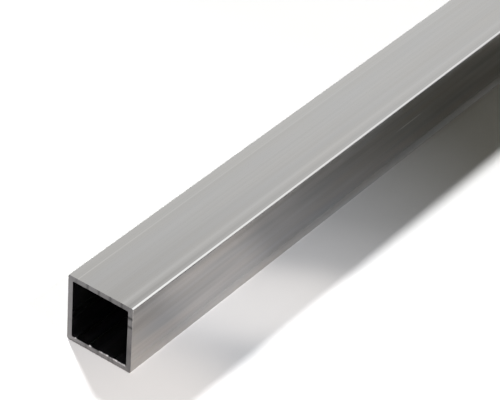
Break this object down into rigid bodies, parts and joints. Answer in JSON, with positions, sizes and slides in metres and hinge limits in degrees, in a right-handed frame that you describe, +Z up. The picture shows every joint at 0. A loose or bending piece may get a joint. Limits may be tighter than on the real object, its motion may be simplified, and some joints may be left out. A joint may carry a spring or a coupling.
{
  "type": "square tube",
  "caption": "Straight length of thin-walled square aluminium tube with crisp corners, a mill finish and sawn open ends.",
  "frame": {"origin": "middle of the face that the tube lies on, halfway along its length", "axes": "+Y along the tube, from the sawn end in view to the far one, +Z up from the face it lies on, +X to the right seen from the end in view"},
  "size_m": [0.02, 1, 0.02],
  "materials": {
    "mill_aluminium": "mill finish, with fine lines along its length and sawn ends"
  },
  "bodies": {
    "root": {"square_tube": "mill_aluminium"}
  },
  "joints": []
}
